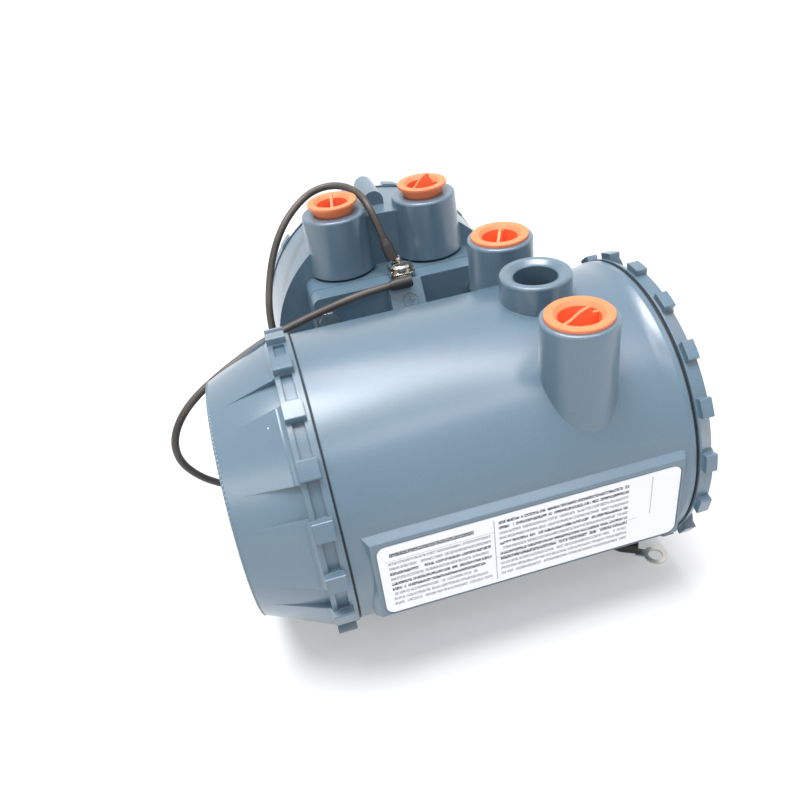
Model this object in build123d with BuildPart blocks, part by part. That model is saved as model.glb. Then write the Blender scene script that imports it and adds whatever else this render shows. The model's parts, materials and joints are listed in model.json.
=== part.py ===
from build123d import *
import math
import os

os.makedirs("parts", exist_ok=True)

# Transmitter of a magnetic flow meter with its remote junction box, lying on its three round covers.
# X runs along the barrel, from the electronics cover to the terminal cover.
# Y runs from the label side to the junction cover, Z points up along the conduit entries.
# The origin is on the surface it lies on, under the middle of its outline. All sizes in millimetres.

# Barrel of the housing
barrel_length = 157.1
barrel_radius = 70.2
barrel_wall = 5.7
barrel_overlap = 0.4
rim_flare = 1.2
rim_flare_length = 9.0
rim_edge = 0.5
electronics_depth = 84.0
bulkhead_thickness = 6.0
thread_wall = 3.7
thread_depth = 15.0

# What the screwed covers share
thread_clearance = 0.3
skirt_length = 12.0
skirt_wall = 5.0
skirt_bevel = 1.0
seal_width = 4.0
cover_floor = 6.0
lug_count = 18
lug_angle = 6.8
lug_corner = 0.8
lug_root = 9.0

# Deep cover over the display: lugs, pockets between them and a cone with a window in its end
display_cover_depth = 42.8
display_seal_gap = 0.6
display_border = 1.1
display_lug_reach = 4.6
display_lug_start = 2.4
display_lug_end = 11.2
display_lug_phase = 18.0
pocket_start = 3.8
pocket_end = 8.8
pocket_depth = 1.7
cone_step = 1.8
cone_fillet = 2.6
scallop_depth = 2.2
scallop_width = 14.5
scallop_length = 22.0
scallop_phase = 148.0
window_radius = 45.0
window_lip = 4.0
end_land = 12.3
end_bevel = 0.9
glass_overlap = 5.0
glass_thickness = 8.0
glass_clearance = 0.2
gasket_thickness = 0.8
retainer_overlap = 2.5
retainer_thickness = 4.0
notch_width = 5.0
notch_depth = 2.0

# Shallow covers of the terminal compartment and of the junction box
shallow_depth = 9.8
shallow_seal_gap = 1.2
shallow_lug_start = 2.2
shallow_lug_end = 7.6
shallow_end_inset = 9.0
shallow_scallop_depth = 4.6
dish_width = 2.0
dish_depth = 1.2
terminal_border = 1.5
terminal_lug_reach = 4.6
terminal_lug_phase = 11.4
terminal_scallop_phase = 1.4
junction_border = 0.6
junction_lug_reach = 1.2
junction_lug_phase = 78.0
junction_scallop_phase = 88.0

# Conduit entries of the barrel
port_setback = 44.5
port_pitch = 44.5
port_rise = 12.3
port_radius = 16.5
port_round = 1.4
port_edge = 0.1
conduit_radius = 10.0
conduit_mouth = 0.65
mouth_bevel_width = 3.0
mouth_bevel_depth = 1.4

# Label pad and the label's shallow pocket in it
pad_left_margin = 6.6
pad_right_margin = 5.0
pad_left_bevel = 2.6
pad_right_bevel = 1.4
pad_end_depth = 3.5
pad_rise = 1.0
pad_top = 15.7
pad_bottom = 28.2
pad_bevel = 3.0
pad_foot = 4.6
label_left_margin = 11.5
label_width = 137.5
label_height = 40.0
label_top = 13.0
label_thickness = 0.4
label_corner = 4.0
label_pocket_margin = 0.7
label_pocket_depth = 0.3

# Neck and mounting flange
junction_station = 70.5
neck_length = 27.3
neck_radius = 24.0
neck_bore = 14.0
flange_thickness = 12.0
flange_width = 104.0
flange_height = 88.0
flange_corner = 5.0
rib_width = 20.0
rib_offset = 2.0
flange_gasket_thickness = 0.6
flange_gasket_inset = 0.5
bolt_edge_x = 7.0
bolt_edge_z = 13.0
bolt_radius = 3.0
bolt_clearance = 0.4
thread_fit = 0.05
bolt_head_across = 10.0
bolt_head_height = 4.0
bolt_reach = 8.0

# Junction box
foot_depth = 15.4
foot_relief = 8.0
cup_depth = 43.3
cup_radius = 74.6
cup_rise = 0.8
cup_wall_floor = 4.5
cup_bore_wall = 9.0
cup_thread_wall = 5.1
boss_spread = 54.0
boss_setback = 37.2
boss_reach = 4.6
boss_radius = 18.7
boss_draft = 1.6
boss_foot_height = 1.5
boss_round = 1.6
lock_width = 11.6
lock_offset = -1.4
lock_length = 29.8
lock_reach = 4.0

# Plastic caps in the conduit entries
cap_clearance = 0.3
cap_flange_overhang = 4.35
cap_flange_thickness = 1.6
cap_body_taper = 0.5
cap_body_length = 14.0
cap_collar_foot = 1.4
cap_collar_head = 3.0
cap_collar_height = 4.8
cap_wall = 0.8
cap_well_bevel = 1.8
cap_well_floor = 1.4
cap_edge = 0.3
cap_web = 1.5
tab_sink = 3.2

# Earthing screw, its clamp and its two leads
earth_x = 2.4
earth_setback = 6.6
earth_screw_radius = 3.0
earth_screw_reach = 11.0
earth_head_radius = 5.4
earth_head_height = 4.2
earth_head_round = 1.6
earth_slot = 1.3
earth_slot_turn = 14.0
clamp_width = 14.4
clamp_side = 11.0
clamp_thickness = 1.3
clamp_lip = 2.2
lead_radius = 2.1
sleeve_radius = 3.4
sleeve_length = 13.0
sleeve_neck = 4.0
ring_rim = 2.4
far_ring_radius = 6.0
ring_clearance = 0.5
ring_thickness = 1.0
tongue_width = 5.0
far_ring_reach = 9.0

# Boards and their posts
board_thickness = 1.6
board_gap = 7.5
board_flat = 0.15
post_hole = 1.6
post_screw = 1.5
standoff_across = 6.0
standoff_inset = 4.816
power_board_station = 60.0
signal_board_station = 34.0
display_board_station = -18.0
display_gap = 2.0
bezel_thickness = 4.0
screen_side = 12.0
screen_height = 34.0
screen_clearance = 0.2
screen_sink = 0.6
display_screw_head = 1.8

# Parts on the power board
transformer_drop = 12.0
core_overhang = 4.0
transformer_height = 30.0
transformer_depth = 22.0
core_side = 6.0
core_height = 24.0
core_depth = 12.0
core_station = 5.0
capacitor_radius = 5.0
capacitor_length = 20.0
capacitor_setback = 8.0
capacitor_pitch = 14.0

# Potted feed-throughs
potting_clearance = 0.02
wire_radius = 0.8
bulkhead_hole = 9.0
bulkhead_hole_drop = 40.0
bulkhead_wires = 6
bulkhead_wire_circle = 4.5
bulkhead_wire_length = 4.0
neck_plug_depth = 12.0
neck_wires = 8
neck_wire_circle = 7.0
neck_wire_length = 5.0

# Terminal blocks
block_height = 15.0
block_depth = 26.0
block_margin = 4.0
block_corner = 2.0
terminal_pitch = 8.5
terminal_count = 8
junction_terminal_count = 6
junction_block_drop = 30.0
barrier_width = 1.2
barrier_height = 3.0
barrier_inset = 2.0
screw_radius = 2.6
screw_height = 2.2
screw_slot = 0.9
screw_slot_depth = 1.0
compartment_screw_across = 8.0
compartment_screw_height = 3.5
compartment_screw_drop = 28.0


def lowest_reach(radius, phase):
    """How far a ring of lugs reaches below its axis, one lug being centred on the phase angle."""
    pitch = 360 / lug_count
    from_bottom = (phase + 90) % pitch
    nearest = max(min(from_bottom, pitch - from_bottom) - lug_angle / 2, 0)
    return radius * math.cos(math.radians(nearest))


# Radii, reaches from the barrel's axis and stations worked out from the sizes above
thread_radius = barrel_radius - thread_wall
cavity_radius = barrel_radius - barrel_wall
port_height = barrel_radius + port_rise
mouth_bevel_radius = conduit_radius + mouth_bevel_width
pad_reach = barrel_radius + pad_rise
flange_front = barrel_radius + neck_length
flange_back = flange_front + flange_thickness
base_front = flange_back + flange_gasket_thickness
cup_front = base_front + foot_depth
cup_floor = cup_front + cup_wall_floor
junction_parting = cup_front + cup_depth
cup_thread_radius = cup_radius - cup_thread_wall
boss_base = flange_height / 2 + boss_foot_height
boss_height = cup_rise + cup_radius + boss_reach
boss_offset = junction_parting - boss_setback
lock_height = boss_height + lock_reach
display_grip = barrel_radius + display_lug_reach
terminal_grip = barrel_radius + terminal_lug_reach
junction_grip = cup_radius + junction_lug_reach
overall_length = display_cover_depth + barrel_length + shallow_depth
overall_depth = display_grip + junction_parting + shallow_depth
left_parting = display_cover_depth - overall_length / 2
right_parting = left_parting + barrel_length
barrel_y = display_grip - overall_depth / 2
axis_z = max(
    lowest_reach(junction_grip, junction_lug_phase) - cup_rise,
    lowest_reach(display_grip, display_lug_phase),
    lowest_reach(terminal_grip, terminal_lug_phase),
)
board_radius = cavity_radius - board_gap
display_radius = window_radius - display_gap
standoff_spread = (display_radius - standoff_inset) / math.sqrt(2)
screen_width = 2 * (display_radius - screen_side)
core_width = 2 * (standoff_spread - core_side)
transformer_width = core_width - 2 * core_overhang
capacitor_row = standoff_spread - capacitor_setback
port_x = right_parting - port_setback
junction_x = left_parting + junction_station
bulkhead_left = left_parting + electronics_depth
bulkhead_right = bulkhead_left + bulkhead_thickness
earth_y = barrel_y + flange_front + earth_setback
earth_z = axis_z + flange_height / 2


def across(x):
    """Plane across the barrel at x: its own x is world Y, its own y is world Z."""
    return Plane(origin=(x, barrel_y, axis_z), x_dir=(0, 1, 0), z_dir=(1, 0, 0))


def facing_back(reach):
    """Plane across the flange, reach behind the barrel's axis: its own y is world Z."""
    return Plane(origin=(junction_x, barrel_y + reach, axis_z), x_dir=(-1, 0, 0), z_dir=(0, 1, 0))


def barrel_depth_at(height):
    """How far the barrel reaches out from its axis, height above or below it."""
    return math.sqrt(barrel_radius**2 - height**2) - barrel_overlap


def across_cup(reach):
    """The same about the centre of the cup, which sits a little higher than the flange's."""
    return facing_back(reach).shift_origin((junction_x, barrel_y + reach, axis_z + cup_rise))


def level(height, x=0.0, y=0.0):
    """Horizontal plane, height above the barrel's axis."""
    return Plane.XY.offset(axis_z + height).shift_origin((x, y, axis_z + height))


def side_view(seat, turn=0.0):
    """Plane through a cover's axis: its own x is the radius and its own y runs outward."""
    out = seat.rotated((0, 0, turn))
    return Plane(origin=out.origin, x_dir=out.x_dir, z_dir=out.x_dir.cross(out.z_dir))


def keep(piece, name):
    """Label a finished piece and write it to its own file."""
    piece.part.label = name
    export_step(piece.part, "parts/" + name + ".step")
    return piece


display_seat = Plane(origin=(left_parting, barrel_y, axis_z), x_dir=(0, 1, 0), z_dir=(-1, 0, 0))
terminal_seat = Plane(origin=(right_parting, barrel_y, axis_z), x_dir=(0, 1, 0), z_dir=(1, 0, 0))
junction_seat = Plane(
    origin=(junction_x, barrel_y + junction_parting, axis_z + cup_rise), x_dir=(1, 0, 0), z_dir=(0, 1, 0)
)
port_ys = [barrel_y - port_pitch, barrel_y, barrel_y + port_pitch]
boss_xs = [junction_x - boss_spread / 2, junction_x + boss_spread / 2]
boss_y = barrel_y + boss_offset
bolt_x = flange_width / 2 - bolt_edge_x
bolt_z = flange_height / 2 - bolt_edge_z
bolt_points = [(sx * bolt_x, sz * bolt_z) for sx in (-1, 1) for sz in (-1, 1)]

# Flat pad for the label, seen from the barrel's end and cut to its plan
pad_left = left_parting + pad_left_margin
pad_right = right_parting - pad_right_margin
pad_side = pad_reach - pad_end_depth
with BuildPart() as label_pad:
    with BuildSketch(across(pad_left)):
        with BuildLine():
            Polyline(
                (0, pad_top + pad_bevel),
                (-barrel_depth_at(pad_top + pad_bevel), pad_top + pad_bevel),
                (-pad_reach, pad_top),
                (-pad_reach, -pad_bottom),
                (-barrel_depth_at(pad_bottom + pad_foot), -pad_bottom - pad_foot),
                (0, -pad_bottom - pad_foot),
                close=True,
            )
        make_face()
    extrude(amount=pad_right - pad_left)
    with BuildSketch(Plane.XY.offset(axis_z - barrel_radius)):
        with BuildLine():
            Polyline(
                (pad_left, barrel_y),
                (pad_left, barrel_y - pad_side),
                (pad_left + pad_left_bevel, barrel_y - pad_reach),
                (pad_right - pad_right_bevel, barrel_y - pad_reach),
                (pad_right, barrel_y - pad_side),
                (pad_right, barrel_y),
                close=True,
            )
        make_face()
    extrude(amount=2 * barrel_radius, mode=Mode.INTERSECT)

# Housing: one casting with the barrel, three conduit entries, the label pad, the neck and the flange
with BuildPart() as housing:
    with BuildSketch(side_view(terminal_seat)):
        with BuildLine():
            far_end = -barrel_length
            Polyline((barrel_radius, -rim_flare_length), (barrel_radius, far_end + rim_edge))
            Line((barrel_radius, far_end + rim_edge), (barrel_radius - rim_edge, far_end))
            Polyline((barrel_radius - rim_edge, far_end), (0, far_end), (0, 0), (barrel_radius, 0))
            Polyline(
                (barrel_radius, 0),
                (barrel_radius + rim_flare - rim_edge, 0),
                (barrel_radius + rim_flare, -rim_edge),
                (barrel_radius + rim_flare, -rim_flare_length / 3),
            )
            flare_end = (barrel_radius + rim_flare, -rim_flare_length / 3)
            TangentArc((barrel_radius, -rim_flare_length), flare_end, tangent=(0, 1))
        make_face()
    revolve(axis=Axis(terminal_seat.origin, terminal_seat.z_dir))
    # Bosses of the conduit entries, running down into the barrel
    with BuildSketch(Plane.XY.offset(axis_z)):
        with Locations([(port_x, y) for y in port_ys]):
            Circle(port_radius)
    extrude(amount=port_height)
    # Flat pad for the label, its four sides sloping back to the barrel
    add(label_pad.part)
    # Pocket that the label is stuck into
    label_seat = Plane(
        origin=(
            left_parting + label_left_margin + label_width / 2,
            barrel_y - pad_reach + label_pocket_depth,
            axis_z + label_top - label_height / 2,
        ),
        x_dir=(1, 0, 0),
        z_dir=(0, -1, 0),
    )
    with BuildSketch(label_seat):
        RectangleRounded(
            label_width + 2 * label_pocket_margin,
            label_height + 2 * label_pocket_margin,
            label_corner + label_pocket_margin,
        )
    extrude(amount=barrel_wall, mode=Mode.SUBTRACT)
    # Neck and square flange towards the junction box
    with BuildSketch(facing_back(0)):
        Circle(neck_radius)
    extrude(amount=flange_front)
    with BuildSketch(facing_back(flange_front)):
        RectangleRounded(flange_width, flange_height, flange_corner)
    extrude(amount=flange_thickness)
    # Sloping rib from the flange's upper edge down to the barrel
    rib_low = (barrel_radius * 0.88, barrel_radius * 0.26)
    rib_high = (flange_front - 0.33 * neck_length, flange_height / 2 - 15)
    with BuildSketch(across(junction_x + rib_offset - rib_width / 2)):
        with BuildLine():
            Polyline(
                (barrel_radius * 0.75, 0),
                rib_low,
                rib_high,
                (flange_front, flange_height / 2),
                (flange_front + 1, flange_height / 2),
                (flange_front + 1, 0),
                close=True,
            )
        make_face()
    extrude(amount=rib_width)
    # Compartments at both ends, with the bulkhead between them
    with BuildSketch(across(left_parting)):
        Circle(cavity_radius)
    extrude(amount=electronics_depth, mode=Mode.SUBTRACT)
    with BuildSketch(across(right_parting)):
        Circle(cavity_radius)
    extrude(amount=-(right_parting - bulkhead_right), mode=Mode.SUBTRACT)
    with BuildSketch(across(left_parting)):
        Circle(thread_radius)
    extrude(amount=thread_depth, mode=Mode.SUBTRACT)
    with BuildSketch(across(right_parting)):
        Circle(thread_radius)
    extrude(amount=-thread_depth, mode=Mode.SUBTRACT)
    # Conduit bores with a bevelled mouth
    with BuildSketch(level(port_height)):
        with Locations([(port_x, y) for y in port_ys]):
            Circle(conduit_radius)
    extrude(amount=-(port_height - cavity_radius / 3), mode=Mode.SUBTRACT)
    for y in port_ys:
        mouth = Plane(origin=(port_x, y, axis_z + port_height), x_dir=(1, 0, 0), z_dir=(0, 0, 1))
        with BuildSketch(side_view(mouth)):
            with BuildLine():
                Polyline(
                    (0, 0),
                    (mouth_bevel_radius, 0),
                    (conduit_radius + conduit_mouth, -mouth_bevel_depth),
                    (conduit_radius, -mouth_bevel_depth - conduit_mouth),
                    (0, -mouth_bevel_depth - conduit_mouth),
                    close=True,
                )
            make_face()
        revolve(axis=Axis(mouth.origin, mouth.z_dir), mode=Mode.SUBTRACT)
    # Outer edges of the entries' tops
    port_tops = housing.faces().sort_by(Axis.Z)[-3:].edges().filter_by(GeomType.CIRCLE)
    fillet(port_tops.filter_by(lambda e: e.radius > mouth_bevel_radius + port_edge), radius=port_round)
    # Wiring bore of the neck, feed-through hole of the bulkhead, bolt holes of the flange
    with BuildSketch(facing_back(flange_back)):
        Circle(neck_bore)
        with Locations(bolt_points):
            Circle(bolt_radius + bolt_clearance)
    extrude(amount=-(flange_back - cavity_radius / 2), mode=Mode.SUBTRACT)
    with BuildSketch(across(bulkhead_left)):
        with Locations((0, -bulkhead_hole_drop)):
            Circle(bulkhead_hole)
    extrude(amount=bulkhead_thickness, mode=Mode.SUBTRACT)
    # Tapped hole of the earthing screw in the top of the flange
    with BuildSketch(Plane.XY.offset(earth_z)):
        with Locations((junction_x + earth_x, earth_y)):
            Circle(earth_screw_radius + thread_fit)
    extrude(amount=-earth_screw_reach - 1, mode=Mode.SUBTRACT)
keep(housing, "housing")

# Blank label in its pocket
with BuildPart() as nameplate:
    with BuildSketch(label_seat):
        RectangleRounded(label_width, label_height, label_corner)
    extrude(amount=label_thickness)
keep(nameplate, "nameplate")


def lug_outline(seat, grip, phase):
    """Outline of the grip lugs round a cover's rim, one of them centred on the phase angle."""
    width = 2 * grip * math.sin(math.radians(lug_angle / 2))
    with BuildSketch(seat) as outline:
        with PolarLocations(grip - lug_root / 2, lug_count, start_angle=phase):
            RectangleRounded(lug_root, width, lug_corner)
        Circle(grip, mode=Mode.INTERSECT)
    return outline.sketch


def gap_outline(seat, reach, width, count, phase):
    """Outline of straight-sided gaps round a cover's rim, one of them centred on the phase angle."""
    with BuildSketch(seat) as outline:
        with PolarLocations(reach, count, start_angle=phase):
            Rectangle(reach / 2, width)
    return outline.sketch


def cover_seal(seat, thread, gap):
    """Rubber ring squeezed between a rim and its cover."""
    with BuildPart() as seal:
        with BuildSketch(side_view(seat)):
            with Locations((thread + seal_width / 2, gap / 2)):
                Rectangle(seal_width, gap)
        revolve(axis=Axis(seat.origin, seat.z_dir))
    return seal


def shallow_cover(seat, thread, border, grip, phase, hollow_phase):
    """Blind cover: threaded skirt, lugged rim, hollows behind every second gap, a shallow dish."""
    skirt = thread - thread_clearance
    inner = skirt - skirt_wall
    land = border - shallow_end_inset
    floor_start = shallow_depth - cover_floor
    with BuildPart() as hollows:
        with BuildSketch(side_view(seat)):
            with BuildLine():
                Line((border - shallow_scallop_depth, shallow_depth), (border, shallow_lug_start))
                Line((border, shallow_lug_start), (grip + 1, shallow_lug_start))
                Line((grip + 1, shallow_lug_start), (grip + 1, shallow_depth))
                Line((grip + 1, shallow_depth), (border - shallow_scallop_depth, shallow_depth))
            make_face()
        revolve(axis=Axis(seat.origin, seat.z_dir))
        gap_width = 2 * grip * math.sin(math.radians(180 / lug_count - lug_angle / 2))
        gaps = gap_outline(seat, grip, gap_width, lug_count // 2, hollow_phase)
        extrude(gaps, amount=shallow_depth, mode=Mode.INTERSECT)
    with BuildPart() as cover:
        with BuildSketch(side_view(seat)):
            with BuildLine():
                Polyline(
                    (land, shallow_depth),
                    (land - dish_width, shallow_depth - dish_depth),
                    (0, shallow_depth - dish_depth),
                    (0, floor_start),
                    (inner - cover_floor, floor_start),
                    (inner, floor_start - cover_floor),
                    (inner, -skirt_length),
                    (skirt - skirt_bevel, -skirt_length),
                    (skirt, -skirt_length + skirt_bevel),
                    (skirt, shallow_seal_gap),
                    (border, shallow_seal_gap),
                    (border, shallow_lug_end),
                )
                ThreePointArc(
                    (border, shallow_lug_end),
                    (border - shallow_end_inset / 3, (shallow_lug_end + 2 * shallow_depth) / 3),
                    (land, shallow_depth),
                )
            make_face()
        revolve(axis=Axis(seat.origin, seat.z_dir))
        lugs = lug_outline(seat.offset(shallow_lug_start), grip, phase)
        extrude(lugs, amount=shallow_lug_end - shallow_lug_start)
        add(hollows.part, mode=Mode.SUBTRACT)
    return cover


keep(
    shallow_cover(
        terminal_seat,
        thread_radius,
        barrel_radius + terminal_border,
        terminal_grip,
        terminal_lug_phase,
        terminal_scallop_phase,
    ),
    "terminal_cover",
)
keep(
    shallow_cover(
        junction_seat,
        cup_thread_radius,
        cup_radius + junction_border,
        junction_grip,
        -junction_lug_phase,
        -junction_scallop_phase,
    ),
    "junction_cover",
)
keep(cover_seal(terminal_seat, thread_radius, shallow_seal_gap), "terminal_cover_seal")
keep(cover_seal(junction_seat, cup_thread_radius, shallow_seal_gap), "junction_cover_seal")
keep(cover_seal(display_seat, thread_radius, display_seal_gap), "electronics_cover_seal")

# Stations of the deep cover, measured outward from its seat
skirt_radius = thread_radius - thread_clearance
skirt_inner = skirt_radius - skirt_wall
border_radius = barrel_radius + display_border
cone_radius = border_radius - cone_step
cone_start = display_lug_end + cone_fillet
end_radius = window_radius + end_land
glass_radius = window_radius + glass_overlap
retainer_radius = glass_radius + retainer_overlap
glass_seat = display_cover_depth - window_lip - gasket_thickness
retainer_seat = glass_seat - glass_thickness
cone_run = (end_radius - cone_radius, display_cover_depth - end_bevel - cone_start)
scallop_share = scallop_length / cone_run[1]
scallop_end = (cone_radius + cone_run[0] * scallop_share, cone_start + scallop_length)

# Hollows in the cone behind every second gap, running out smoothly towards its end
with BuildPart() as scallops:
    with BuildSketch(side_view(display_seat)):
        with BuildLine():
            TangentArc(
                scallop_end,
                (cone_radius - scallop_depth, display_lug_end),
                tangent=(-cone_run[0], -cone_run[1]),
            )
            Polyline(
                (cone_radius - scallop_depth, display_lug_end),
                (display_grip, display_lug_end),
                (display_grip, scallop_end[1]),
                scallop_end,
            )
        make_face()
    revolve(axis=Axis(display_seat.origin, display_seat.z_dir))
    scallop_gaps = gap_outline(
        display_seat.offset(display_lug_end), cone_radius, scallop_width, lug_count // 2, -scallop_phase
    )
    extrude(scallop_gaps, amount=scallop_length + cone_fillet, mode=Mode.INTERSECT)

# Pockets between the lugs, closed by the borders on both sides
with BuildPart() as pockets:
    with BuildSketch(display_seat.offset(pocket_start)):
        Circle(display_grip)
        Circle(border_radius - pocket_depth, mode=Mode.SUBTRACT)
    extrude(amount=pocket_end - pocket_start)
    pocket_width = 2 * border_radius * math.sin(math.radians(180 / lug_count - lug_angle / 2)) - 1
    pocket_gaps = gap_outline(
        display_seat.offset(pocket_start),
        border_radius,
        pocket_width,
        lug_count,
        180 / lug_count - display_lug_phase,
    )
    extrude(pocket_gaps, amount=pocket_end - pocket_start, mode=Mode.INTERSECT)

with BuildPart() as electronics_cover:
    with BuildSketch(side_view(display_seat)):
        with BuildLine():
            Polyline(
                (cone_radius, cone_start),
                (end_radius, display_cover_depth - end_bevel),
                (end_radius - end_bevel, display_cover_depth),
                (window_radius, display_cover_depth),
                (window_radius, display_cover_depth - window_lip),
                (glass_radius + glass_clearance, display_cover_depth - window_lip),
                (glass_radius + glass_clearance, retainer_seat),
                (retainer_radius + glass_clearance, retainer_seat),
                (retainer_radius + glass_clearance, retainer_seat - retainer_thickness - 1),
                (skirt_inner, display_lug_start),
                (skirt_inner, -skirt_length),
                (skirt_radius - skirt_bevel, -skirt_length),
                (skirt_radius, -skirt_length + skirt_bevel),
                (skirt_radius, display_seal_gap),
                (border_radius, display_seal_gap),
                (border_radius, display_lug_end),
            )
            TangentArc((cone_radius, cone_start), (border_radius, display_lug_end), tangent=(0, -1))
        make_face()
    revolve(axis=Axis(display_seat.origin, display_seat.z_dir))
    cover_lugs = lug_outline(display_seat.offset(display_lug_start), display_grip, -display_lug_phase)
    extrude(cover_lugs, amount=display_lug_end - display_lug_start)
    add(pockets.part, mode=Mode.SUBTRACT)
    add(scallops.part, mode=Mode.SUBTRACT)
keep(electronics_cover, "electronics_cover")

# Window glass, the seal under it and the ring that holds them
with BuildPart() as window_glass:
    with BuildSketch(display_seat.offset(retainer_seat)):
        Circle(glass_radius)
    extrude(amount=glass_thickness)
keep(window_glass, "window_glass")

with BuildPart() as window_gasket:
    with BuildSketch(display_seat.offset(glass_seat)):
        Circle(glass_radius)
        Circle(window_radius + glass_clearance, mode=Mode.SUBTRACT)
    extrude(amount=gasket_thickness)
keep(window_gasket, "window_gasket")

with BuildPart() as window_retainer:
    with BuildSketch(display_seat.offset(retainer_seat)):
        Circle(retainer_radius)
        Circle(window_radius, mode=Mode.SUBTRACT)
    extrude(amount=-retainer_thickness)
    # Two spanner notches
    with BuildSketch(display_seat.offset(retainer_seat - retainer_thickness)):
        with PolarLocations(window_radius, 2):
            Rectangle(2 * notch_depth, notch_width)
    extrude(amount=notch_depth, mode=Mode.SUBTRACT)
keep(window_retainer, "window_retainer")


def standoff_points():
    """Corners of the square on which the posts of the board stack stand."""
    return [(sy * standoff_spread, sz * standoff_spread) for sy in (-1, 1) for sz in (-1, 1)]


def round_board(station, radius):
    """Printed board across the barrel with its four post holes and a flat cut at its foot."""
    with BuildPart() as board:
        with BuildSketch(across(left_parting + station)):
            Circle(radius)
            with Locations((0, -radius)):
                Rectangle(2 * radius, 2 * board_flat * radius, mode=Mode.SUBTRACT)
            with Locations(standoff_points()):
                Circle(post_hole, mode=Mode.SUBTRACT)
        extrude(amount=board_thickness)
    return board


keep(round_board(power_board_station, board_radius), "power_board")
keep(round_board(signal_board_station, board_radius), "signal_board")
keep(round_board(display_board_station, display_radius), "display_board")

# Hexagonal posts between the bulkhead and the three boards
with BuildPart() as board_standoffs:
    for start, stop in (
        (display_board_station + board_thickness, signal_board_station),
        (signal_board_station + board_thickness, power_board_station),
        (power_board_station + board_thickness, electronics_depth),
    ):
        with BuildSketch(across(left_parting + start)):
            with Locations(standoff_points()):
                RegularPolygon(standoff_across / 2, 6, major_radius=False)
        extrude(amount=stop - start)
keep(board_standoffs, "board_standoffs")

# Display: a bezel that frames the screen, held by four screws
bezel_back = left_parting + display_board_station
with BuildPart() as display_bezel:
    with BuildSketch(across(bezel_back)):
        Circle(display_radius)
        Rectangle(
            screen_width + 2 * screen_clearance, screen_height + 2 * screen_clearance, mode=Mode.SUBTRACT
        )
        with Locations(standoff_points()):
            Circle(post_hole, mode=Mode.SUBTRACT)
    extrude(amount=-bezel_thickness)
keep(display_bezel, "display_bezel")

with BuildPart() as display_screen:
    with BuildSketch(across(bezel_back)):
        Rectangle(screen_width, screen_height)
    extrude(amount=-(bezel_thickness - screen_sink))
keep(display_screen, "display_screen")

with BuildPart() as display_screws:
    with BuildSketch(across(bezel_back - bezel_thickness)):
        with Locations(standoff_points()):
            Circle(screw_radius)
    extrude(amount=-display_screw_head)
    with BuildSketch(across(bezel_back - bezel_thickness)):
        with Locations(standoff_points()):
            Circle(post_screw)
    extrude(amount=bezel_thickness + board_thickness)
keep(display_screws, "display_screws")

# Transformer and reservoir capacitors on the power board
power_face = left_parting + power_board_station
with BuildPart() as power_transformer:
    with BuildSketch(across(power_face)):
        with Locations((0, -transformer_drop)):
            RectangleRounded(transformer_width, transformer_height, block_corner)
    extrude(amount=-transformer_depth)
    with BuildSketch(across(power_face - core_station)):
        with Locations((0, -transformer_drop)):
            RectangleRounded(core_width, core_height, block_corner)
    extrude(amount=-core_depth)
keep(power_transformer, "power_transformer")

with BuildPart() as power_capacitors:
    with BuildSketch(across(power_face)):
        with Locations([(place * capacitor_pitch, capacitor_row) for place in (-1, 0, 1)]):
            Circle(capacitor_radius)
    extrude(amount=-capacitor_length)
keep(power_capacitors, "power_capacitors")

# Potted feed-through in the bulkhead and the one in the neck
with BuildPart() as bulkhead_feed_through:
    with BuildSketch(across(bulkhead_left)):
        with Locations((0, -bulkhead_hole_drop)):
            Circle(bulkhead_hole - potting_clearance)
    extrude(amount=bulkhead_thickness)
    with BuildSketch(across(bulkhead_left)):
        with Locations((0, -bulkhead_hole_drop)):
            with PolarLocations(bulkhead_wire_circle, bulkhead_wires):
                Circle(wire_radius)
    extrude(amount=bulkhead_thickness + bulkhead_wire_length)
keep(bulkhead_feed_through, "bulkhead_feed_through")

with BuildPart() as neck_feed_through:
    with BuildSketch(facing_back(flange_back)):
        Circle(neck_bore - potting_clearance)
    extrude(amount=-neck_plug_depth)
    with BuildSketch(facing_back(flange_back)):
        with PolarLocations(neck_wire_circle, neck_wires):
            Circle(wire_radius)
    extrude(amount=neck_wire_length)
keep(neck_feed_through, "neck_feed_through")


def terminal_places(count, drop):
    """Centres of a row of terminals, drop below the seat's centre."""
    return [((place - (count - 1) / 2) * terminal_pitch, -drop) for place in range(count)]


def terminal_row(seat, count, drop):
    """Terminal block with barriers between its terminals."""
    width = count * terminal_pitch + 2 * block_margin
    with BuildPart() as block:
        with BuildSketch(seat):
            with Locations((0, -drop)):
                RectangleRounded(width, block_depth, block_corner)
        extrude(amount=block_height)
        with BuildSketch(seat.offset(block_height)):
            with Locations(terminal_places(count + 1, drop)):
                Rectangle(barrier_width, block_depth - 2 * barrier_inset)
        extrude(amount=barrier_height)
    return block


def slotted_screws(seat, count, drop):
    """Row of slotted screw heads on a terminal block."""
    with BuildPart() as screws:
        with BuildSketch(seat.offset(block_height)):
            with Locations(terminal_places(count, drop)):
                Circle(screw_radius)
        extrude(amount=screw_height)
        with BuildSketch(seat.offset(block_height + screw_height)):
            with Locations(terminal_places(count, drop)):
                Rectangle(2 * screw_radius + 1, screw_slot)
        extrude(amount=-screw_slot_depth, mode=Mode.SUBTRACT)
    return screws


keep(terminal_row(across(bulkhead_right), terminal_count, 0), "terminal_block")
keep(slotted_screws(across(bulkhead_right), terminal_count, 0), "terminal_screws")

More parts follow.
